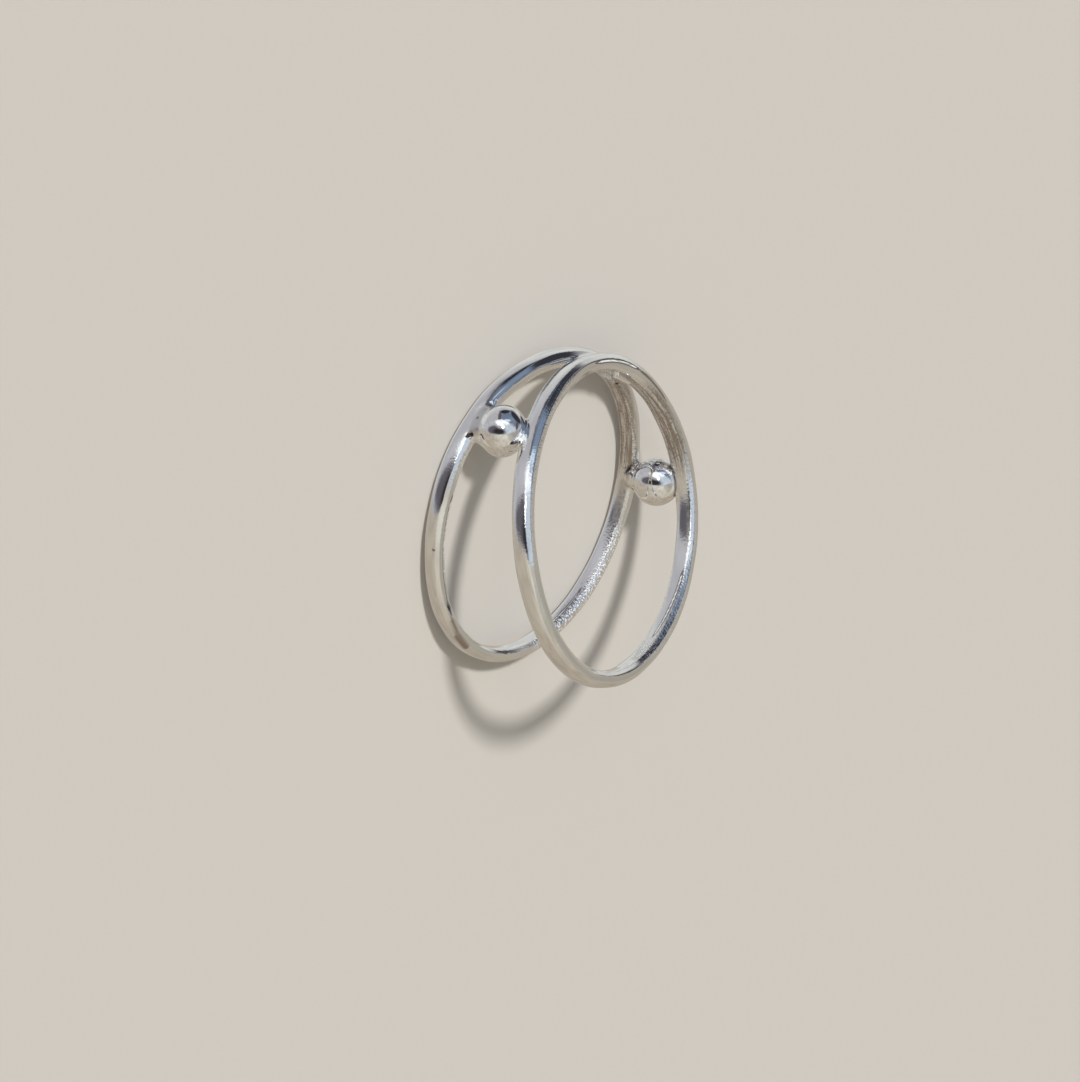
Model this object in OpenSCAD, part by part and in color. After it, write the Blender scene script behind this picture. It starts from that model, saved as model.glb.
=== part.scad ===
// Finger ring of two slim bands, soldered together at one point and spread apart on the
// far side, with a small ball set into the gap on each flank. The ring lies on its side.

/* [Bands] */
// Inside diameter of each band, in mm
hole_d = 17.3; // [14:0.1:23]
// Width of the wire along the finger, in mm
wire_w = 1.3; // [1.1:0.05:1.8]
// Thickness of the wire from the inside of the band to the outside, in mm
wire_t = 1.05; // [0.85:0.05:1.1]
// Angle at which the two bands spread apart, in degrees
spread = 19.5; // [15:0.5:22]
// How far the front band sits to one side of the rear band, in mm
side_shift = 0.7; // [0:0.1:1.2]

/* [Balls] */
// Diameter of each ball, in mm
ball_d = 2.85; // [2.6:0.05:3.2]
// Angle round the band from the soldered joint to the ball on the +X side, in degrees
left_ball_angle = 67; // [64:1:74]
// Angle round the band from the soldered joint to the ball on the -X side, in degrees
right_ball_angle = 72; // [64:1:74]

/* [Solder] */
// Angle that the solder fills to each side of the joint, in degrees
seam_half = 20; // [12:1:24]
// Thickness of the solder between the bands, in mm
seam_t = 0.6; // [0.4:0.05:0.7]
// Diameter of the solder neck where it meets a band, in mm
neck_d = 1.15; // [1.1:0.05:1.3]
// Diameter of the solder neck where it leaves a ball, in mm
neck_ball_d = 2; // [1.8:0.05:2.1]

/* [Hidden] */
$fn = 96;
// Radius of the middle line of each wire
mid_r = hole_d / 2 + wire_t / 2;
// Height of the front band's middle line above the rear band's, at the joint
joint_rise = wire_w + 0.02;
// Share of the way from a ball's middle to a band at which the neck starts
neck_from = 0.55;

// Point on the rear band's middle line, a degrees round from the joint
function rear_point(a) = [
    side_shift / 2 + mid_r * sin(a),
    -mid_r * cos(a),
    wire_w / 2
];

// The same point on the front band, which is hinged up about the joint
function front_point(a) = [
    -side_shift / 2 + mid_r * sin(a),
    -mid_r + mid_r * (1 - cos(a)) * cos(spread),
    wire_w / 2 + joint_rise + mid_r * (1 - cos(a)) * sin(spread)
];

// Middle of a ball, halfway between the two bands
function ball_point(a) = (rear_point(a) + front_point(a)) / 2;

// Section of the wire: round edges with a narrow flat inside and outside
module wire_section() {
    edge = (wire_w - wire_t) / 2;
    translate([mid_r, -edge]) circle(d = wire_t);
    translate([mid_r, edge]) circle(d = wire_t);
    translate([mid_r - wire_t / 2, -edge]) square([wire_t, 2 * edge]);
}

// One band, flat on the XY plane about its own middle
module band() {
    rotate_extrude() wire_section();
}

// Rear band, flat on the surface
module rear_band() {
    translate([side_shift / 2, 0, wire_w / 2]) band();
}

// Front band, tilted up about the joint at its -Y side
module front_band() {
    translate([-side_shift / 2, -mid_r, wire_w / 2 + joint_rise])
        rotate([spread, 0, 0])
            translate([0, mid_r, 0])
                band();
}

// Solder that runs between the bands on both sides of the joint
module seam() {
    rise = wire_w;
    translate([0, -mid_r, wire_w / 2 + joint_rise / 2])
        rotate([spread / 2, 0, 0])
            translate([0, mid_r, 0])
                rotate([0, 0, 270 - seam_half])
                    rotate_extrude(angle = 2 * seam_half)
                        translate([mid_r - seam_t / 2, -rise / 2])
                            square([seam_t, rise]);
}

// Cone of solder from a ball to one band
module neck(ball, band) {
    way = band - ball;
    len = norm(way);
    translate(ball)
        rotate([0, acos(way[2] / len), atan2(way[1], way[0])])
            translate([0, 0, neck_from * len])
                cylinder(h = (1 - neck_from) * len, d1 = neck_ball_d, d2 = neck_d);
}

// Ball with a neck of solder to each band
module ball(a) {
    translate(ball_point(a)) sphere(d = ball_d);
    neck(ball_point(a), rear_point(a));
    neck(ball_point(a), front_point(a));
}

// The soldered ring is one solid piece of metal
module ring() {
    color("silver") {
        rear_band();
        front_band();
        seam();
        ball(left_ball_angle);
        ball(-right_ball_angle);
    }
}

ring();
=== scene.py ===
# %% [markdown]
# # A soldered double ring in polished silver
#
# The real ring is two hand-bent hoops of silver wire. They touch at one point, where
# they are soldered, and spread apart on the far side. A small ball sits in the gap on
# each flank, soldered to both hoops. Here it lies on its side on a pale floor.

import bpy
import numpy as np
from mathutils import Matrix, Vector


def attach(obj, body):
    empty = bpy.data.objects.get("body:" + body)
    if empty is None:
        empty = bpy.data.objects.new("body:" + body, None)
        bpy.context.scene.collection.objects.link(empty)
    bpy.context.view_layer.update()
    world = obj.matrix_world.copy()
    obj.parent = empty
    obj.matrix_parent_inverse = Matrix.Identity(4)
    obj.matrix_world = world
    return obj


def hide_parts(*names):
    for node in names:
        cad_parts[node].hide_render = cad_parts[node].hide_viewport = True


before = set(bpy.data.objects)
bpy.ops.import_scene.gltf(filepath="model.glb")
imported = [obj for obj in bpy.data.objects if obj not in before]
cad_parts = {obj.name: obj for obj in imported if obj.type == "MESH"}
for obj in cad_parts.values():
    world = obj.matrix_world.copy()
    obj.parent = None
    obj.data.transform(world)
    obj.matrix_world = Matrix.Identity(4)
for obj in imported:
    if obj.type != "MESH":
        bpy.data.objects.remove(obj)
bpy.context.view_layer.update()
MM = 0.001

# %% [markdown]
# ## The camera
#
# A long lens looks down on the ring from about 31 degrees above the floor. The place
# and the turn were found by laying the two hoops over their outlines in the photograph.
# With `sensor_fit` at AUTO the 36 mm sensor spans the longer side of the picture, so a
# focal length in pixels becomes one in millimetres by a plain ratio.

# %% Camera
PHOTO_LONG_SIDE = 1082
FOCAL_PX = 4200
SENSOR_MM = 36
NEAREST_M, FARTHEST_M = 0.01, 10  # what the camera can see
LIFT = 0.2  # mm that the bowed rear hoop raises the ring off the floor
CAMERA_MM = np.array([204.08, -12.47, 125.31 + LIFT])
CAMERA_RIGHT = np.array([-0.50905, -0.30894, 0.80338])
CAMERA_UP = np.array([0.11186, -0.9492, -0.29413])


def make_camera():
    """The camera's columns are right, up and backwards; backwards is right crossed with up."""
    right = CAMERA_RIGHT / np.linalg.norm(CAMERA_RIGHT)
    up = CAMERA_UP - right * (CAMERA_UP @ right)
    up /= np.linalg.norm(up)
    place = np.eye(4)
    place[:3, :3] = np.stack([right, up, np.cross(right, up)], axis=1)
    place[:3, 3] = CAMERA_MM * MM
    data = bpy.data.cameras.new("Camera")
    data.sensor_width = SENSOR_MM
    data.lens = FOCAL_PX * SENSOR_MM / PHOTO_LONG_SIDE
    data.clip_start, data.clip_end = NEAREST_M, FARTHEST_M
    camera = bpy.data.objects.new("Camera", data)
    bpy.context.scene.collection.objects.link(camera)
    camera.matrix_world = Matrix(place.tolist())
    bpy.context.scene.camera = camera
    print(f"lens {data.lens:.1f} mm")


make_camera()

# %% [markdown]
# ## Two hoops, bent by hand
#
# Each hoop is a wire bent round a rod and soldered shut. A hoop made that way is a little
# oval and a little bowed, so its radius and its height swing by a fraction of a millimetre,
# twice each turn, and in places a push has moved it. It could be sculpted, but a formula of
# the angle from the joint is smooth and easy to correct. All of it is in millimetres.

# %% Middle line of a hoop
MID_R = 9.175  # radius of the wire's middle line
PUSH_SPAN = 30  # degrees over which a push on the wire fades to about a third
HOOPS = {  # "thin" is the share worn away far from the joint, "pushes" are degrees and mm
    "rear": {
        "oval": 0.32, "oval_at": -79.9, "bow": 0.20, "bow_at": -12.1, "seed": 0.4,
        "thin": 0.18, "pushes": [(-118, 0.19), (108, -0.19)],
    },
    "front": {
        "oval": 0.37, "oval_at": -56.2, "bow": 0.15, "bow_at": -73.6, "seed": 2.9,
        "thin": 0.06, "pushes": [],
    },
}


def hoop_radius(hoop, turn):
    """Mean radius plus the oval, a cosine of twice the angle from the oval's long axis.
    A push adds a bell shape: e to the cosine of the angle from its middle, less one."""
    radius = MID_R + hoop["oval"] * np.cos(2 * (turn - np.radians(hoop["oval_at"])))
    for at, amount in hoop["pushes"]:
        near = (np.cos(turn - np.radians(at)) - 1) / (1 - np.cos(np.radians(PUSH_SPAN)))
        radius = radius + amount * np.exp(near)
    return radius


def hoop_bow(hoop, turn):
    """Height above the hoop's plane, a cosine of twice the angle from the bow's crest."""
    return hoop["bow"] * np.cos(2 * (turn - np.radians(hoop["bow_at"])))


for name, hoop in HOOPS.items():
    radii = hoop_radius(hoop, np.radians(np.arange(360)))
    print(name, "hoop's middle radius from", radii.min().round(2), "to", radii.max().round(2))

# %% [markdown]
# ## How the hoops sit together
#
# The rear hoop lies flat on the floor. The front one starts beside and above it at the
# joint and is turned up about that point, so the gap opens towards the far side. Turning
# an object would place it too, but the formulas below have to go both ways, from a hoop's
# own plane to the ring and back.

# %% Place of each hoop
WIRE_W, WIRE_T = 1.28, 1.03  # along the finger, and from inside to outside
SPREAD = np.radians(19.5)  # the angle between the hoops
SIDE_SHIFT = 0.7  # mm between their middles, across
JOINT_RISE = 1.32  # mm between their middles at the joint, along the finger


def hoop_to_ring(points, name):
    """Moves points from a hoop's own plane to the ring: the rear hoop is lifted by half
    its wire, and the front one is shifted aside, raised, and turned about the joint."""
    if name == "rear":
        return points + [SIDE_SHIFT / 2, 0, WIRE_W / 2 + LIFT]
    c, s = np.cos(SPREAD), np.sin(SPREAD)
    turned = (points + [0, MID_R, 0]) @ np.array([[1, 0, 0], [0, c, s], [0, -s, c]])
    return turned + [-SIDE_SHIFT / 2, -MID_R, WIRE_W / 2 + JOINT_RISE + LIFT]


def ring_to_hoop(points, name):
    """The way back: the same shift, lift and turn, undone in reverse order."""
    if name == "rear":
        return points - [SIDE_SHIFT / 2, 0, WIRE_W / 2 + LIFT]
    c, s = np.cos(SPREAD), np.sin(SPREAD)
    moved = points - [-SIDE_SHIFT / 2, -MID_R, WIRE_W / 2 + JOINT_RISE + LIFT]
    return moved @ np.array([[1, 0, 0], [0, c, -s], [0, s, c]]) - [0, MID_R, 0]


def hoop_middle(name, degrees):
    """Point on a hoop's middle line: sine and minus cosine of the angle from the joint,
    times the radius there, with the bow as its height."""
    turn, hoop = np.radians(degrees), HOOPS[name]
    r = hoop_radius(hoop, turn)
    flat = np.stack([r * np.sin(turn), -r * np.cos(turn), hoop_bow(hoop, turn)], -1)
    return hoop_to_ring(flat, name)


print("far side:", hoop_middle("rear", 180).round(2), hoop_middle("front", 180).round(2))

# %% [markdown]
# ## The section of the wire
#
# Hammering and filing leave the wire neither round nor square. Its section is a
# superellipse, a rounded oval with flatter sides, with two filed flats that give the
# mirror its long straight edges, and with slow waves that make the reflections swim.

# %% Section of the wire
OUTER_POWER, INNER_POWER = 2.6, 3.4  # the hammered inside has tighter corners
BEVELS = [(48, 0.608), (128, 0.640)]  # filed flats: angle round the wire, mm from its middle
BEVEL_EDGE = 0.012  # mm over which a flat's edge is rounded
BEVEL_TWIST, BEVEL_DRIFT = 0.09, 0.006  # radians and mm by which a flat wanders
LEAST_FACING = 0.05  # keeps a flat finite at right angles to it
WAVE = 0.011  # mm of unevenness that filing by hand leaves


def blend(a, b, reach):
    """The smaller of two distances, less a quarter of reach times the square of how
    close they are, so that the corner between them is rounded."""
    close = np.clip(1 - np.abs(a - b) / reach, 0, 1)
    return np.minimum(a, b) - close**2 * reach / 4


def section_size(angle, turn, hoop):
    """Half width of the superellipse in the direction of an angle round the wire. Its
    power goes from the outer to the inner one, slow waves run along and round, and each
    flat cuts it at its own distance over the cosine of the angle away from it. Wear takes
    its share times the sine of half the angle from the joint."""
    seed = hoop["seed"]
    power = OUTER_POWER + (INNER_POWER - OUTER_POWER) * (1 - np.cos(angle)) / 2
    across, along = np.abs(np.cos(angle)) / (WIRE_T / 2), np.abs(np.sin(angle)) / (WIRE_W / 2)
    waves = (
        np.sin(7 * turn + seed) * np.cos(2 * angle + 3 * turn)
        + 0.8 * np.sin(13 * turn + 5 * seed) * np.cos(angle + 2 * seed)
        + 0.5 * np.sin(22 * turn + 3 * seed) * np.sin(2 * angle + seed)
    )
    size = (across**power + along**power) ** (-1 / power)
    for at, away in BEVELS:
        facing = np.cos(angle - np.radians(at) - BEVEL_TWIST * np.sin(5 * turn + seed))
        flat = away + BEVEL_DRIFT * np.sin(9 * turn + 3 * seed)
        size = blend(size, flat / np.maximum(facing, LEAST_FACING), BEVEL_EDGE)
    worn = hoop["thin"] * np.abs(np.sin(turn / 2))
    return size * (1 - worn) + WAVE * waves


for name, hoop in HOOPS.items():
    thick = section_size(0, np.pi, hoop) + section_size(np.pi, np.pi, hoop)
    print(name, "hoop is", float(thick.round(2)), "mm thick at the far side")

# %% Hoop as a grid
def grid_quads(rows, columns, rows_close):
    """Corner numbers of the faces of a grid: each point with its next one both ways.
    Columns always close into a round, and rows only where they are asked to."""
    i, j = np.meshgrid(
        np.arange(rows if rows_close else rows - 1), np.arange(columns), indexing="ij"
    )
    i2, j2 = (i + 1) % rows, (j + 1) % columns
    corners = [i * columns + j, i2 * columns + j, i2 * columns + j2, i * columns + j2]
    return np.stack(corners, -1).reshape(-1, 4)


def hoop_grid(name, turns=420, rounds=40):
    """Surface of two angles, one round the hoop and one round the wire: the middle line
    plus the section's half width, out along cosine and up along sine of the second."""
    hoop = HOOPS[name]
    turn, around = np.meshgrid(
        np.linspace(0, 2 * np.pi, turns, endpoint=False),
        np.linspace(0, 2 * np.pi, rounds, endpoint=False),
        indexing="ij",
    )
    size = section_size(around, turn, hoop)
    r = hoop_radius(hoop, turn) + size * np.cos(around)
    z = hoop_bow(hoop, turn) + size * np.sin(around)
    points = np.stack([r * np.sin(turn), -r * np.cos(turn), z], -1).reshape(-1, 3)
    return hoop_to_ring(points, name), grid_quads(turns, rounds, True), []


print("hoop points", len(hoop_grid("rear")[0]))

# %% [markdown]
# ## Balls, solder and pits
#
# A silver ball is made by melting a scrap on charcoal, so it pulls itself round. Solder
# runs into the corners where a ball or the other hoop touches, and sets as small lumps;
# where it didn't reach, pits stay, and where it was heated too long, it sets crinkled. A
# lump or a pit is a rod with round ends: all the points within a radius of a short line.
# A ball is a rod whose line has no length, so one grid makes both. Its first and last rows
# are closed with a cap. The left ball is a little flatter across the gap than it is tall.

# %% Balls
BALL_R = {"left": 1.47, "right": 1.41}
BALL_AT = {"left": 67, "right": -72}  # degrees from the joint
SQUEEZED = {"left": 1.13, "right": 1.0}  # how much flatter a ball is across the gap


def ball_middle(side):
    """Halfway between the two hoops at the ball's angle from the joint."""
    return (hoop_middle("rear", BALL_AT[side]) + hoop_middle("front", BALL_AT[side])) / 2


print("left ball at", ball_middle("left").round(2), "right ball at", ball_middle("right").round(2))

# %% Solder, crust and pits
SOLDER = [  # start, end and radius of each lump, and how far it flows out, all in mm
    ((9.10, -3.10, 1.25), (8.85, -2.95, 1.55), 0.30, 0.30),  # under the left ball
    ((8.78, -4.30, 1.14), (9.20, -3.46, 1.36), 0.36, 0.40),  # between it and the rear hoop
    ((8.56, -4.78, 0.97), (8.28, -4.93, 1.06), 0.11, 0.18),  # above it
    ((-8.22, -3.10, 1.15), (-8.38, -2.70, 1.25), 0.26, 0.34),  # beside the right ball
    ((-0.60, -8.80, 1.55), (-2.60, -8.55, 1.62), 0.24, 0.30),  # along the joint
    ((-1.20, -8.30, 1.46), (-1.45, -8.22, 1.50), 0.13, 0.05),  # rough tips inside it
    ((-1.60, -8.24, 1.52), (-1.90, -8.17, 1.62), 0.12, 0.05),
    ((-1.30, -8.54, 2.28), (-1.45, -8.52, 2.30), 0.13, 0.05),
    ((-2.00, -8.36, 1.84), (-3.20, -8.22, 2.12), 0.10, 0.06),
]
CRUST = [  # stretches where the solder crinkled as it set: start, end and radius
    ((-8.10, -3.70, 1.35), (-8.32, -4.30, 2.40), 0.30),
    ((-8.32, -4.30, 2.40), (-8.62, -4.43, 3.40), 0.32),
    ((-8.00, -3.20, 1.00), (-8.05, -3.70, 1.50), 0.26),
    ((8.75, -4.90, 1.05), (8.40, -5.15, 1.20), 0.14),
    ((-8.48, -1.90, 0.92), (-8.60, -0.50, 0.85), 0.15),
]
PITS = [  # start, end and radius of each hole
    ((9.63, -2.90, 1.02), (9.50, -3.03, 1.15), 0.09),
    ((9.41, -4.03, 1.08), (9.41, -4.03, 1.08), 0.07),
    ((8.76, -4.93, 1.03), (8.76, -4.93, 1.03), 0.06),
    ((-7.90, -3.06, 0.96), (-7.92, -3.26, 1.06), 0.08),
    ((-7.92, -3.34, 1.08), (-7.94, -3.62, 1.30), 0.08),
    ((-7.98, -3.62, 1.36), (-8.10, -3.86, 1.62), 0.07),
    ((-8.62, -3.14, 4.14), (-8.66, -3.00, 4.16), 0.09),
    ((-3.00, -7.97, 1.52), (-3.06, -7.95, 1.56), 0.07),
    ((9.32, 3.69, 1.00), (9.32, 3.69, 1.00), 0.06),
]
POLE_GAP = 0.03  # radians left open at each pole of a rod, for its cap


def rod_grid(start, end, radius, rows=24, columns=48):
    """Sphere of latitude and longitude, radius times cosine and sine of both, whose half
    that looks along the line sits at its end and the other half at its start."""
    lat, lon = np.meshgrid(
        np.linspace(POLE_GAP, np.pi - POLE_GAP, rows),
        np.linspace(0, 2 * np.pi, columns, endpoint=False),
        indexing="ij",
    )
    shell = np.stack([np.sin(lat) * np.cos(lon), np.sin(lat) * np.sin(lon), np.cos(lat)], -1)
    shell = shell.reshape(-1, 3)
    ahead = (shell @ (np.array(end) - start) > 0)[:, None]
    points = shell * radius + np.where(ahead, end, start)
    caps = [list(range(columns))[::-1], list(range((rows - 1) * columns, rows * columns))]
    return points, grid_quads(rows, columns, False), caps


print(len(SOLDER), "lumps,", len(PITS), "pits, points in a rod:", len(rod_grid(*SOLDER[0][:3])[0]))

# %% [markdown]
# ## One solid of silver
#
# Solder flows into every corner, so the real ring has no crease where a ball meets the
# wire. Two steps give that. First all the closed shapes are fused by a voxel remesh.
# Then every point of the fused mesh slides onto the zero level of one smooth formula,
# in which the distances to hoops and balls are blended, so corners fill like a fillet,
# and from which the pits are taken away.

# %% Distance from a hoop
def hoop_place(points, name):
    """Angle round the hoop, angle round the wire, and distance from its middle line."""
    local = ring_to_hoop(points, name)
    turn = np.arctan2(local[:, 0], -local[:, 1])
    out = np.hypot(local[:, 0], local[:, 1]) - hoop_radius(HOOPS[name], turn)
    up = local[:, 2] - hoop_bow(HOOPS[name], turn)
    return turn, np.arctan2(up, out), np.hypot(out, up)


def hoop_distance(points, name):
    """Distance from the wire's middle line less the section's half width that way."""
    turn, around, away = hoop_place(points, name)
    return away - section_size(around, turn, HOOPS[name])


for name in HOOPS:
    own = np.abs(hoop_distance(hoop_grid(name)[0], name)).max()
    print(name, "grid lies on its own formula to", float(own.round(6)), "mm")

# %% Distance from a rod or a ball
def rod_distance(points, start, end, radius):
    """Distance from the nearest point of a short line, less a radius."""
    start, way = np.array(start), np.array(end) - start
    part = np.clip((points - start) @ way / max(way @ way, 1e-9), 0, 1)
    return np.linalg.norm(points - start - part[:, None] * way, axis=1) - radius


def nearest(points, rods):
    """Distance from the nearest of several rods."""
    return np.min([rod_distance(points, *rod) for rod in rods], axis=0)


def ball_distance(points, side):
    """Distance from the ball's middle less its radius, with the part across the gap,
    from one hoop's middle line to the other's, stretched by how flat the ball is."""
    across = hoop_middle("front", BALL_AT[side]) - hoop_middle("rear", BALL_AT[side])
    across /= np.linalg.norm(across)
    from_middle = points - ball_middle(side)
    part = from_middle @ across
    stretched = from_middle + (part * (SQUEEZED[side] - 1))[:, None] * across
    return np.linalg.norm(stretched, axis=1) - BALL_R[side]


for side in BALL_AT:
    gap = ball_distance(hoop_middle("rear", BALL_AT[side])[None], side)[0]
    print(side, "ball ends", float(gap.round(2)), "mm from the rear hoop's middle line")

# %% Distance from the whole ring
BALL_FILLET = 0.34  # mm over which a ball blends into the rear hoop
FRONT_FILLET = 0.16  # the same for the front hoop, where it meets the balls and the rear hoop
CRINKLE = 0.008  # mm of height of the crinkles in the solder's crust
CRINKLE_WAVES = [  # radians in each mm along X, Y and Z, of a set of waves and of what bends it
    ([13, 6, 9], [5, -11, 4]),
    ([-8, 16, 7], [9, 4, -12]),
]
CRINKLE_BEND = 2  # radians by which the crests are moved to and fro
PIT_ROUND = 0.05  # mm over which a pit's rim is rounded


def smooth_step(value, low, high):
    """0 below low, 1 above high, and three squares less two cubes of the part between."""
    part = np.clip((value - low) / (high - low), 0, 1)
    return part * part * (3 - 2 * part)


def on_crust(points):
    """1 from a tenth of a millimetre inside the crust's rods, 0 from a tenth outside them."""
    return smooth_step(0.1 - nearest(points, CRUST), 0, 0.2)


def crinkles(points):
    """Two sets of waves in space, each bent by another set, where the crust lies."""
    total = 0
    for way, bend in CRINKLE_WAVES:
        total = total + np.sin(points @ way + CRINKLE_BEND * np.sin(points @ bend))
    return total * on_crust(points)


def ring_distance(points):
    """The rear hoop with each ball blended in, then the front hoop, then the lumps and the
    crinkles, and the pits taken away: a blend of two distances with their signs turned."""
    whole = hoop_distance(points, "rear")
    for side in BALL_AT:
        whole = blend(whole, ball_distance(points, side), BALL_FILLET)
    whole = blend(whole, hoop_distance(points, "front"), FRONT_FILLET)
    for start, end, radius, flow in SOLDER:
        whole = blend(whole, rod_distance(points, start, end, radius), flow)
    whole = whole - CRINKLE * crinkles(points)
    return -blend(-whole, nearest(points, PITS), PIT_ROUND)


def slope(points, step=0.01):
    """Slope of the distance, from its change over a small step each way along X, Y, Z."""
    parts = []
    for axis in np.eye(3) * step:
        parts.append((ring_distance(points + axis) - ring_distance(points - axis)) / (2 * step))
    return np.stack(parts, -1)


print("in the finger hole", ring_distance(np.array([[0.0, 0.0, 2.0]])).round(2), "mm from silver")

# %% Fuse the shapes
VOXEL = 0.085  # mm


def fused_mesh():
    """Joins the closed grids in one mesh and lets the Remesh modifier fuse them."""
    shapes = [hoop_grid(name) for name in HOOPS] + [rod_grid(*lump[:3]) for lump in SOLDER]
    shapes += [rod_grid(ball_middle(side), ball_middle(side), BALL_R[side]) for side in BALL_AT]
    points, faces, first = [], [], 0
    for grid, quads, caps in shapes:
        points.append(grid)
        faces += (quads + first).tolist() + [[first + i for i in cap] for cap in caps]
        first += len(grid)
    raw = bpy.data.meshes.new("raw_ring")
    raw.from_pydata(np.concatenate(points).tolist(), [], faces)
    holder = bpy.data.objects.new("raw_ring", raw)
    bpy.context.scene.collection.objects.link(holder)
    remesh = holder.modifiers.new("Fuse", "REMESH")
    remesh.mode = "VOXEL"
    remesh.voxel_size = VOXEL
    bpy.context.view_layer.update()
    graph = bpy.context.evaluated_depsgraph_get()
    fused = bpy.data.meshes.new_from_object(holder.evaluated_get(graph))
    bpy.data.objects.remove(holder)
    bpy.data.meshes.remove(raw)
    return fused


ring_mesh = fused_mesh()
print("fused points", len(ring_mesh.vertices))

# %% Settle the points on the formula
SETTLE_STEPS = 6
LARGEST_STEP = 0.08  # mm
LEAST_SLOPE = 0.05  # squared, keeps a step finite in a corner


def settled(points):
    """Slides points along the slope by distance over slope squared, a few times over."""
    for _ in range(SETTLE_STEPS):
        way = slope(points)
        step = -ring_distance(points) / np.maximum((way**2).sum(1), LEAST_SLOPE)
        move = way * step[:, None]
        length = np.linalg.norm(move, axis=1)
        points = points + move * np.minimum(1, LARGEST_STEP / np.maximum(length, 1e-9))[:, None]
    return points


def settle_ring(mesh):
    """Gives the mesh its settled points, in metres, and normals along the slope."""
    mesh.name = "silver_ring"
    points = np.zeros(len(mesh.vertices) * 3, np.float32)
    mesh.vertices.foreach_get("co", points)
    points = settled(points.reshape(-1, 3).astype(float))
    mesh.vertices.foreach_set("co", (points * MM).astype(np.float32).ravel())
    mesh.polygons.foreach_set("use_smooth", np.ones(len(mesh.polygons), bool))
    way = slope(points)
    mesh.update()
    mesh.normals_split_custom_set_from_vertices(
        (way / np.linalg.norm(way, axis=1)[:, None]).tolist()
    )
    return points


ring_points = settle_ring(ring_mesh)
ring = bpy.data.objects.new("silver_ring", ring_mesh)
bpy.context.scene.collection.objects.link(ring)
triangles = sum(len(face.vertices) - 2 for face in ring_mesh.polygons)
print("largest miss in mm", float(np.abs(ring_distance(ring_points)).max().round(4)))
print("triangles", triangles, "box", ring_points.min(0).round(2), ring_points.max(0).round(2))

# %% [markdown]
# ## Where each finish lies
#
# Filing and sanding leave marks that run along the wire, so the pattern has to follow it.
# Each point of the mesh is told where it is: how far round the hoop, how far round the
# wire, and how much it belongs to a ball, to a sanded stretch, or to a corner that the
# polishing wheel can't reach. Painting these by hand would work too, but distances and
# angles give them exactly, and they stay right when the shape changes. The material reads
# all of them as attributes.

# %% Place of each point on the wire
def give(name, values):
    """Stores one number, or three, for each point."""
    many = values.ndim == 2
    layer = ring_mesh.attributes.new(name, "FLOAT_VECTOR" if many else "FLOAT", "POINT")
    layer.data.foreach_set("vector" if many else "value", values.astype(np.float32).ravel())
    print(name, "from", values.min(0).round(2), "to", values.max(0).round(2))


wires = {name: hoop_place(ring_points, name) for name in HOOPS}
on_front = wires["front"][2] < wires["rear"][2]  # nearer to the front hoop's middle line
turn = np.where(on_front, wires["front"][0], wires["rear"][0])
around = np.where(on_front, wires["front"][1], wires["rear"][1])
inside = smooth_step(-np.cos(around), -0.1, 0.75)  # 1 on the face that touches the finger
to_wire = np.min([hoop_distance(ring_points, name) for name in HOOPS], axis=0)
to_ball = np.min([ball_distance(ring_points, side) for side in BALL_AT], axis=0)
ball = smooth_step(to_wire - to_ball, 0.0, 0.12)
give("lay", np.stack([np.cos(turn), np.sin(turn), on_front.astype(float)], -1))
give("round", np.stack([np.cos(around), np.sin(around), inside], -1))
give("ball", ball)

# %% Grain and dull stretches
SANDED = {  # bands of degrees from the joint that kept a fine grain, and how strong it is
    "rear": [(-155, -88, 1.0), (-88, -76, 0.4), (68, 88, 0.8)],
    "front": [(-150, -98, 0.4), (-98, -70, 0.35), (36, 112, 0.35)],
}
SANDED_ROUND = (72, 156)  # the angles round the wire that it covers
SANDED_ELSEWHERE = 0.2  # share of the grain on the rest of the wire
DULL = {"rear": (-70, -8), "front": (-64, -24)}  # inside faces the polish missed


def window(degrees, low, high, soft=7):
    """1 between two angles, with soft ends."""
    begins = smooth_step(degrees, low - soft, low + soft)
    return begins * (1 - smooth_step(degrees, high - soft, high + soft))


def mark_grain():
    """Each band is a window round its hoop, times one round the wire, off the balls."""
    sanded, dull = np.zeros(len(turn)), np.zeros(len(turn))
    for name, here in (("rear", ~on_front), ("front", on_front)):
        for low, high, amount in SANDED[name]:
            sanded = np.maximum(sanded, window(np.degrees(turn), low, high) * here * amount)
        dull = np.maximum(dull, window(np.degrees(turn), *DULL[name]) * here * inside)
    covered = window(np.degrees(around), *SANDED_ROUND, soft=14)
    sanded *= SANDED_ELSEWHERE + (1 - SANDED_ELSEWHERE) * covered
    give("sanded", sanded * (1 - ball))
    give("dull", dull * (1 - ball))


mark_grain()

# %% [markdown]
# ## Single marks
#
# Some creases and edges get a white line painted as a highlight, with a thin line of
# painted shade along each edge, and one gets a thin line of painted shade alone. Each line
# has an angle round the wire where it starts and one where it ends. Brown streaks painted
# as a reflection of shade, matte stretches and rough tips of solder where the polish never
# came are rods again, as the pits are. What is within a rod or just outside it counts.

# %% Lines along the wire
GLINT_LINES = [  # painted highlights along creases and edges: hoop, angles from the joint, angles round the wire
    ("front", -18, 18, 85, 87, 0.8),  # and how whole the line is
    ("front", -140, -100, 175, 146, 0.3),
    ("rear", -144, -114, 176, 168, 0.3),
    ("rear", 90, 140, 105, 106, 0.2),
]
SHADE_LINES = [("front", -40, -12, 100, 86, 1.0)]  # thin lines of painted shade, given in the same way
LINE_UNIT = 10  # degrees round the wire for each unit of the two attributes
FAR_OFF = 3.0  # units at which a line is no longer seen


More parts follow.
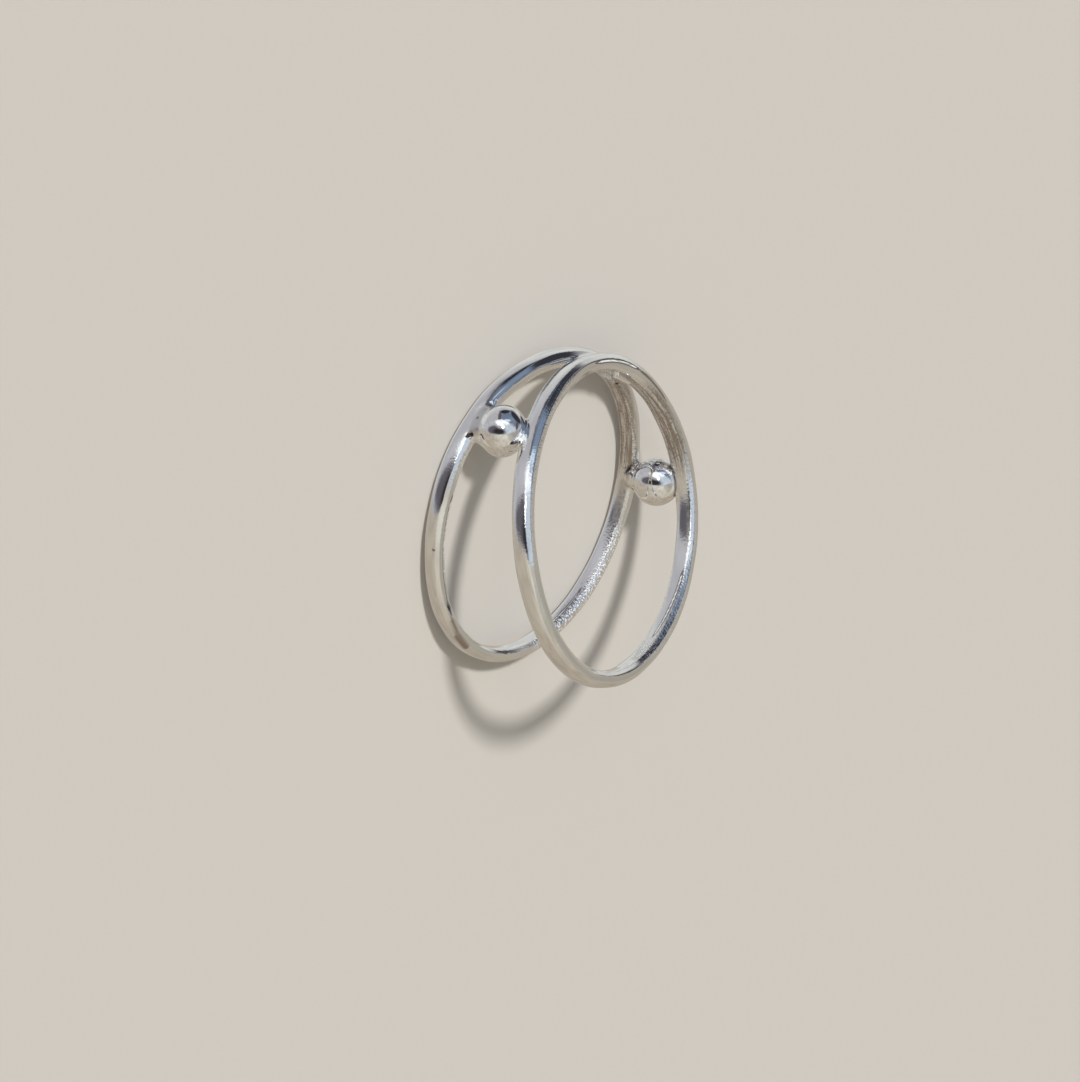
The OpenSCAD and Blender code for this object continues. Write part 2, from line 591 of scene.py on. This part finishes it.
def off_lines(lines):
    """Angle round the wire to the nearest line, in line units, and that line's share. A
    line runs evenly from its first angle to its second, and is far off past its ends."""
    nearest_off, share = np.full(len(turn), FAR_OFF), np.zeros(len(turn))
    for hoop, low, high, at_low, at_high, whole in lines:
        aim = at_low + (at_high - at_low) * (np.degrees(turn) - low) / (high - low)
        off = np.abs((np.degrees(around) - aim + 180) % 360 - 180) / LINE_UNIT
        here = window(np.degrees(turn), low, high) * (on_front == (hoop == "front"))
        off += FAR_OFF * (1 - here)
        share = np.where(off < nearest_off, whole, share)
        nearest_off = np.minimum(nearest_off, off)
    return nearest_off, share


glint_line_off, glint_line_share = off_lines(GLINT_LINES)
give("glint_line", glint_line_off)
give("glint_line_whole", glint_line_share)
give("shade_line", off_lines(SHADE_LINES)[0])

# %% Painted shade streaks, matte stretches and rough spots
JAGGED = [  # rough tips of solder in the corner of the joint: start, end and radius in mm
    ((-1.20, -8.26, 1.47), (-1.95, -8.15, 1.60), 0.14),
    ((-1.30, -8.52, 2.30), (-1.45, -8.50, 2.32), 0.13),
]
# Brown streaks painted on the metal as a reflection of shade
SHADE_STREAKS = [  # brown streaks
    ((6.90, 6.40, 1.47), (6.00, 7.25, 1.50), 0.04),
    ((6.00, 7.28, 1.50), (4.90, 8.10, 1.51), 0.10),
    ((4.90, 8.14, 1.50), (3.70, 8.66, 1.46), 0.19),
]
MATTE = [  # stretches that the brush left without a shine
    ((9.55, -3.30, 1.25), (8.95, -4.70, 1.20), 0.35),
    ((9.00, -3.85, 3.75), (8.75, -3.35, 4.05), 0.25),
    ((-8.35, -2.40, 0.90), (-8.60, -0.40, 0.85), 0.34),
]
PIT_SHADE = (-0.02, 0.07)  # mm from a pit's rod between which the painted shade in it fades
CORNER_WIDTH, CORNER_FADE = 0.22, 0.2  # mm its two distances may differ by, and the fade
CORNER_REACH = 0.3  # mm from a ball at which its corner's painted shade has faded out
CORNER_SHARE = {"right": 0.75, "left": 0.12}  # how dark the painted shade in the corners round each ball is

give("crust", on_crust(ring_points))
for name, rods, outside, fade in (  # mm outside the rods, and mm over which it fades
    ("jagged", JAGGED, 0.08, 0.12),
    ("matte", MATTE, 0.10, 0.25),
    ("shade_streak", SHADE_STREAKS, 0.10, 0.16),
):
    give(name, smooth_step(outside - nearest(ring_points, rods), 0, fade))


def mark_recesses():
    """Painted shade in the pits, and in the corner round a ball, where its distance and the wire's
    are alike.
    """
    pits = 1 - smooth_step(nearest(ring_points, PITS), *PIT_SHADE)
    alike = smooth_step(CORNER_WIDTH - np.abs(to_wire - to_ball), 0, CORNER_FADE)
    corner = alike * smooth_step(CORNER_REACH - to_ball, 0, CORNER_REACH)
    corner *= np.where(ring_points[:, 0] < 0, CORNER_SHARE["right"], CORNER_SHARE["left"])
    give("recess", np.clip(pits + corner, 0, 1))


mark_recesses()

# %% [markdown]
# ## Shader maths as plain expressions
#
# A material is a graph of nodes. Written out node by node it is long and hard to read,
# so one small class wraps a node's output. Adding or multiplying two of them adds the
# Math node, and one method adds any other node, with its settings first, because
# some of them change which sockets the node has.

# %% Sockets
class Socket:
    """The output of a shader node, on which ordinary sums can be written."""

    def __init__(self, tree, output):
        self.tree, self.output = tree, output

    @staticmethod
    def node(tree, kind, settings=None, inputs=None, output=0):
        """Adds a node, makes its settings, then gives its sockets values or links."""
        made = tree.nodes.new("ShaderNode" + kind)
        for name, value in (settings or {}).items():
            setattr(made, name, value)
        for name, value in (inputs or {}).items():
            if isinstance(value, Socket):
                tree.links.new(value.output, made.inputs[name])
            else:
                made.inputs[name].default_value = value
        return Socket(tree, made.outputs[output])

    def sum_of(self, operation, first, second):
        """A Math node with one operation on two values."""
        return Socket.node(self.tree, "Math", {"operation": operation}, {0: first, 1: second})

    def __add__(self, other):
        return self.sum_of("ADD", self, other)

    def __sub__(self, other):
        return self.sum_of("SUBTRACT", self, other)

    def __rsub__(self, other):
        return self.sum_of("SUBTRACT", other, self)

    def __mul__(self, other):
        return self.sum_of("MULTIPLY", self, other)

    def __truediv__(self, other):
        return self.sum_of("DIVIDE", self, other)

    def __rtruediv__(self, other):
        return self.sum_of("DIVIDE", other, self)

    def __pow__(self, other):
        return self.sum_of("POWER", self, other)

    __radd__, __rmul__ = __add__, __mul__

    def ramp(self, low, high, start=0.0, end=1.0):
        """Smooth step: start below low, end above high, an S-shaped slope between."""
        return Socket.node(
            self.tree,
            "MapRange",
            {"interpolation_type": "SMOOTHSTEP"},
            {"Value": self, "From Min": low, "From Max": high, "To Min": start, "To Max": end},
        )

    def mix(self, first, second):
        """Colour that goes from first to second as this factor goes from 0 to 1."""
        return Socket.node(
            self.tree, "Mix", {"data_type": "RGBA"}, {"Factor": self, 6: first, 7: second}, output=2
        )


print("a socket can add, subtract, multiply, divide, raise, ramp and mix")

# %% [markdown]
# ## Patterns that follow the wire
#
# The lines on the metal come from noise in four dimensions. Two are the cosine and sine of
# the angle round the hoop and two of the angle round the wire, so the pattern closes on
# itself without a seam, and the first two are stretched to draw it out along the wire.
# Grain and spots have no direction, so plain noise in space is enough for them.

# %% Noise
HOOP_APART = 7.3  # step in the noise from one hoop's pattern to the other's
SPECKLE_MM, SPOT_MM, CLOUD_MM = 0.12, 0.3, 0.9  # sizes of the patterns without direction


def wire_noise(tree, long, fine, detail=2.0, shift=0.0):
    """Noise that is drawn out along the wire: cells per hoop radius, and per wire radius."""
    lay = Socket.node(tree, "Attribute", {"attribute_name": "lay"}, output=1)
    around = Socket.node(tree, "Attribute", {"attribute_name": "round"}, output=1)
    along = [Socket.node(tree, "SeparateXYZ", {}, {0: lay}, output=k) for k in range(3)]
    across = [Socket.node(tree, "SeparateXYZ", {}, {0: around}, output=k) for k in range(2)]
    place = Socket.node(
        tree, "CombineXYZ", {}, {0: along[0] * long, 1: along[1] * long, 2: across[0] * fine}
    )
    fourth = across[1] * fine + along[2] * HOOP_APART + shift
    return Socket.node(
        tree,
        "TexNoise",
        {"noise_dimensions": "4D"},
        {"Vector": place, "W": fourth, "Scale": 1.0, "Detail": detail},
    )


def grain_noise(tree, size_mm, detail=2.0):
    """Even noise in space, with cells of a size in millimetres."""
    here = Socket.node(tree, "TexCoord", output=3)
    return Socket.node(
        tree, "TexNoise", {}, {"Vector": here, "Scale": 1 / (size_mm * MM), "Detail": detail}
    )


print("speckles, spots and clouds of", SPECKLE_MM, SPOT_MM, CLOUD_MM, "mm")

# %% [markdown]
# ## Polished silver, what hands leave on it, and painted shade and glints
#
# Sterling silver mirrors nearly all light, with the least hint of warmth. What makes it
# look real is what breaks the mirror: hair-fine lines that run along the wire, a sanded
# stretch whose grain glitters, partly through painted glints, and a brown film where the
# wheel didn't reach. On top of that come painted light and shade: brown streaks painted as
# a reflection of shade, painted shade in the pits and the corners round the balls, and
# white lines painted as glints, a matte white that the lamp lights and that so stays white
# from every side, with a thin line of painted shade along each of its edges.

# %% Silver
SILVER = (0.955, 0.945, 0.925, 1)
# brown of tarnish, and of the streaks painted as a reflection of shade
BROWN_FILM_AND_SHADE = (0.365, 0.302, 0.250, 1)
# painted shade, for pits, corners round the balls and lines along creases and edges
PAINTED_SHADE_COLOUR = (0.075, 0.048, 0.038, 1)
# painted glints: a matte white that the lamp lights
GLINT_WHITE = (0.95, 0.95, 0.94, 1)
PLAIN_ROUGHNESS = 0.04
PLAIN_BUMP, HAIR_BUMP = 0.0015, 0.004  # height on clean metal, in the bump's millimetre


def make_silver():
    """Film, painted shade and painted glints are masks that lie over each other, and each has
    its colour, its share of roughness and its share of height. The film is real tarnish
    with brown streaks painted as a reflection of shade."""
    material = bpy.data.materials.new("polished_silver")
    material.use_nodes = True
    tree = material.node_tree
    shader = tree.nodes["Principled BSDF"]

    def mark(name):
        return Socket.node(tree, "Attribute", {"attribute_name": name}, output=2)

    wire, sanded, dull = 1 - mark("ball"), mark("sanded"), mark("dull")
    crust, shade_streak, matte, recess = mark("crust"), mark("shade_streak"), mark("matte"), mark("recess")
    glint_line, whole, shade_line, jagged = map(mark, ("glint_line", "glint_line_whole", "shade_line", "jagged"))
    streaks = wire_noise(tree, 4.0, 5.0, 3.0)
    hairs = wire_noise(tree, 5.0, 15.0, 3.0, 20.0)
    speckle = grain_noise(tree, SPECKLE_MM, 1.0)
    spots = grain_noise(tree, SPOT_MM, 3.0)
    clouds = grain_noise(tree, CLOUD_MM, 3.0)

    # Brown film: real tarnish, crinkled solder and matte stretches, plus brown streaks painted as a
    # reflection of shade
    film_and_shade = dull * (streaks.ramp(0.38, 0.60) * 0.75 + speckle.ramp(0.54, 0.66) * 0.5 + 0.15)
    film_and_shade = film_and_shade + crust * spots.ramp(0.4, 0.6) * 0.6 + shade_streak * streaks.ramp(0.2, 0.6, 0.45, 0.85)
    film_and_shade = film_and_shade * (1 - jagged) + matte * 0.32
    # Along each painted highlight line, a thin line of painted shade on either edge
    edge_shade = glint_line.ramp(0.45, 0.65) * glint_line.ramp(1.25, 0.9) * (hairs + whole * 0.3).ramp(0.4, 0.5)
    # Painted shade: pits, the corners round the balls, and lines along creases and edges
    dark = (recess * 0.96).ramp(0.05, 0.9) + edge_shade * 0.7 + shade_line.ramp(0.95, 0.35) * 0.65
    # Painted glints: white grains and lines on the highlight lines, the joint's rough tips and the
    # sanded stretches
    broken = (spots + whole * 0.4).ramp(0.47, 0.57)
    glint = glint_line.ramp(0.50, 0.25) * broken * 0.9 + jagged * speckle.ramp(0.47, 0.55)
    glint = glint + sanded * sanded * speckle.ramp(0.48, 0.62) * 0.65

    colour = film_and_shade.mix(SILVER, BROWN_FILM_AND_SHADE)
    colour = dark.mix(colour, PAINTED_SHADE_COLOUR)
    colour = glint.mix(colour, GLINT_WHITE)
    rough = PLAIN_ROUGHNESS + clouds.ramp(0.4, 0.75) * 0.05 + streaks.ramp(0.5, 0.75) * 0.06 * wire
    rough = rough + dull * 0.08 + matte * 0.34 + dark * 0.25 + glint * 0.4
    coarse = sanded * 0.055 + dull * 0.045 + crust * 0.030 + jagged * 0.12 + PLAIN_BUMP
    lines = HAIR_BUMP + dull * 0.026 + sanded * 0.006
    height = (hairs - 0.5) * lines * wire + (speckle - 0.5) * coarse
    bump = Socket.node(tree, "Bump", {}, {"Height": height, "Distance": MM, "Strength": 1.0})
    metal = 1 - glint * 0.8
    for name, value in (
        ("Base Color", colour), ("Metallic", metal), ("Roughness", rough), ("Normal", bump)
    ):
        tree.links.new(value.output, shader.inputs[name])
    print("silver nodes", len(tree.nodes))
    return material


ring_mesh.materials.clear()
ring_mesh.materials.append(make_silver())
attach(ring, "root")
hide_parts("ring")

# %% [markdown]
# ## The floor
#
# The ring lies on a plain pale floor, which catches a soft shadow. The metal doesn't
# mirror this floor. The lower half of the painted room stands in for it, so that one set
# of cards rules everything that the silver shows.

# %% Floor
FLOOR_HALF = 2.0  # metres from the middle to each side
FLOOR_COLOUR = (0.60, 0.56, 0.505, 1)


def make_floor():
    """A flat square that reaches past every view's edge."""
    h = FLOOR_HALF
    mesh = bpy.data.meshes.new("floor")
    mesh.from_pydata([(-h, -h, 0), (h, -h, 0), (h, h, 0), (-h, h, 0)], [], [(0, 1, 2, 3)])
    floor = bpy.data.objects.new("floor", mesh)
    bpy.context.scene.collection.objects.link(floor)
    material = bpy.data.materials.new("floor_paint")
    material.use_nodes = True
    shader = material.node_tree.nodes["Principled BSDF"]
    shader.inputs["Base Color"].default_value = FLOOR_COLOUR
    shader.inputs["Roughness"].default_value = 0.9
    shader.inputs["Specular IOR Level"].default_value = 0.2
    mesh.materials.append(material)
    floor.visible_glossy = False
    print("floor", FLOOR_HALF * 2, "m wide")


make_floor()

# %% [markdown]
# ## The room that the metal mirrors
#
# Polished silver has no colour of its own, it shows what stands round it. So the room is
# painted like a studio with cards: pale above, warm ground below, a white sheet, an
# evening-blue one, and a few dark ones that give the edges their bite. A card's place is
# given as a mirror ball would show it to the lens, which is how a photographer looks
# for it: across and up, from minus one to one over the ball's disc. The room is fixed to
# the world, so from another side the same cards show up elsewhere on the metal, as they
# would in a studio. The last card is the sun, small and far brighter than white.

# %% Cards
SKY_CARDS = [  # name, across, up, half width, half height, turn, softness, colour, power
    ("blue evening", 0.34, 0.40, 0.46, 0.22, -28, 0.20, (102, 117, 139), 1),
    ("blue window", 0.44, 0.36, 0.18, 0.10, -30, 0.70, (114, 130, 153), 1),
    ("left eaves", 0.09, 0.71, 0.24, 0.075, -2, 0.25, (40, 42, 48), 1),
    ("right eaves", 0.56, 0.48, 0.34, 0.085, -50, 0.25, (42, 45, 54), 1),
    ("post", -0.12, 0.52, 0.08, 0.22, 0, 0.25, (86, 84, 90), 1),
    ("white sheet", 0.01, 0.275, 0.33, 0.125, -12, 0.20, (240, 245, 252), 1.1),
    ("light-blue sheet", 0.25, 0.365, 0.13, 0.040, -10, 0.40, (200, 217, 238), 1),
    ("pale sheet", 0.30, 0.02, 0.27, 0.20, 0, 0.35, (190, 202, 216), 1),
    ("side post", 0.64, 0.14, 0.05, 0.15, 0, 0.30, (84, 80, 88), 1),
    ("far post", 0.845, 0.17, 0.035, 0.14, 4, 0.35, (44, 42, 42), 1),
    ("dark curtain", -0.38, 0.045, 0.25, 0.155, -6, 0.25, (90, 88, 95), 1),
    ("dark stand", -0.10, -0.04, 0.29, 0.115, -8, 0.45, (38, 36, 39), 1),
    ("far shade", 0.92, 0.06, 0.055, 0.14, 0, 0.40, (158, 152, 145), 1),
    ("sun", 0.06, 0.12, 0.045, 0.045, 0, 0.30, (255, 255, 255), 7),
]
GROUND_CARDS = [
    ("near ground", 0.10, -0.48, 0.40, 0.20, 0, 0.60, (192, 186, 173), 1),
    ("sunlit ground", 0.10, -0.26, 0.34, 0.11, -6, 0.60, (206, 205, 195), 1),
    ("far ground", 0.68, -0.14, 0.30, 0.18, 20, 0.60, (158, 156, 149), 1),
]


def paint(red, green, blue):
    """A screen colour of 0 to 255 as the linear light that Blender works in."""
    c = np.array([red, green, blue]) / 255
    light = np.where(c <= 0.04045, c / 12.92, ((c + 0.055) / 1.055) ** 2.4)
    return (*light.tolist(), 1.0)


def pin_cards(colour, cards, across, up):
    """Lays each card over the colour: a tilted ellipse with a soft edge, inside which the
    root of the squares of the two parts, each over its half size, is below one."""
    for _, at_across, at_up, wide, high, turn, soft, tint, power in cards:
        c, s = float(np.cos(np.radians(turn))), float(np.sin(np.radians(turn)))
        dx, dy = across - at_across, up - at_up
        x, y = (dx * c + dy * s) / wide, (dy * c - dx * s) / high
        light = tuple(power * part for part in paint(*tint))
        colour = ((x * x + y * y) ** 0.5).ramp(1 + soft, 1 - soft).mix(colour, light)
    return colour


print(len(SKY_CARDS), "cards in the sky,", len(GROUND_CARDS), "on the ground")

# %% Room
GROUND_BELOW, GROUND_EDGE = paint(166, 156, 142), paint(174, 166, 153)
SKY_NEAR, SKY_FAR = paint(174, 175, 182), paint(203, 205, 203)  # behind the lens, and ahead
GROUND_SPAN, SKY_SPAN = (-1.0, -0.1), (-0.2, -0.7)  # between which each turns to its second colour
HORIZON = (-0.025, 0.015)  # heights between which the ground gives way to the sky
MOTTLE, MOTTLE_SHARE = paint(70, 66, 64), 0.24  # dark unevenness over the whole room
ROOM_STRENGTH = 1.14


def unit(v):
    """The same direction with a length of one."""
    return np.asarray(v, float) / np.linalg.norm(v)


VIEW_RIGHT, VIEW_UP = unit(CAMERA_RIGHT), unit(CAMERA_UP)
VIEW_BACK = unit(np.cross(VIEW_RIGHT, VIEW_UP))
SKYWARD = unit([0.375, -0.92, -0.116])  # square to the ground that the metal mirrors


def make_room():
    """Each direction gets the place (across, up) where a mirror ball would show it to the
    lens: its two parts square to the view, over the root of twice one plus the third."""
    world = bpy.data.worlds.new("studio")
    world.use_nodes = True
    bpy.context.scene.world = world
    tree = world.node_tree
    toward = Socket.node(tree, "TexCoord", output=0)

    def along(axis):
        way = {0: toward, 1: axis.tolist()}
        return Socket.node(tree, "VectorMath", {"operation": "DOT_PRODUCT"}, way, output=1)

    spread = ((along(VIEW_BACK) + 1.0001) * 2) ** 0.5
    across, up = along(VIEW_RIGHT) / spread, along(VIEW_UP) / spread
    height = along(SKYWARD)
    ground = height.ramp(*GROUND_SPAN).mix(GROUND_BELOW, GROUND_EDGE)
    ground = pin_cards(ground, GROUND_CARDS, across, up)
    sky = along(VIEW_BACK).ramp(*SKY_SPAN).mix(SKY_NEAR, SKY_FAR)
    sky = pin_cards(sky, SKY_CARDS, across, up)
    mottle = Socket.node(tree, "TexNoise", {}, {"Vector": toward, "Scale": 5.0, "Detail": 4.0})
    colour = height.ramp(*HORIZON).mix(ground, sky)
    colour = (mottle.ramp(0.35, 0.7) * MOTTLE_SHARE).mix(colour, MOTTLE)
    background = tree.nodes["Background"]
    tree.links.new(colour.output, background.inputs["Color"])
    background.inputs["Strength"].default_value = ROOM_STRENGTH
    print("room nodes", len(tree.nodes))


make_room()

# %% [markdown]
# ## The sun lamp
#
# One wide lamp gives the shadow on the floor and lights what is dull and the matte white of
# the painted glints. Polished metal would show it as one hard spot, so it is hidden from
# mirrors, and the room's own sun card gives the glints.

# %% Lamp
LAMP_ENERGY = 2.6
LAMP_WIDTH = 7  # degrees across, which sets how soft the shadow's edge is
LAMP_LOOKS = Vector((-0.493, 0.486, -0.721))


def make_lamp():
    """A sun lamp that shines along its own minus Z, turned to where it looks."""
    data = bpy.data.lights.new("lamp", "SUN")
    data.energy = LAMP_ENERGY
    data.angle = np.radians(LAMP_WIDTH)
    lamp = bpy.data.objects.new("lamp", data)
    bpy.context.scene.collection.objects.link(lamp)
    lamp.visible_glossy = False
    lamp.rotation_mode = "QUATERNION"
    lamp.rotation_quaternion = LAMP_LOOKS.to_track_quat("-Z", "Y")
    print("lamp of", LAMP_WIDTH, "degrees")


make_lamp()
bpy.context.scene.view_settings.view_transform = "Standard"  # shows the painted colours as given
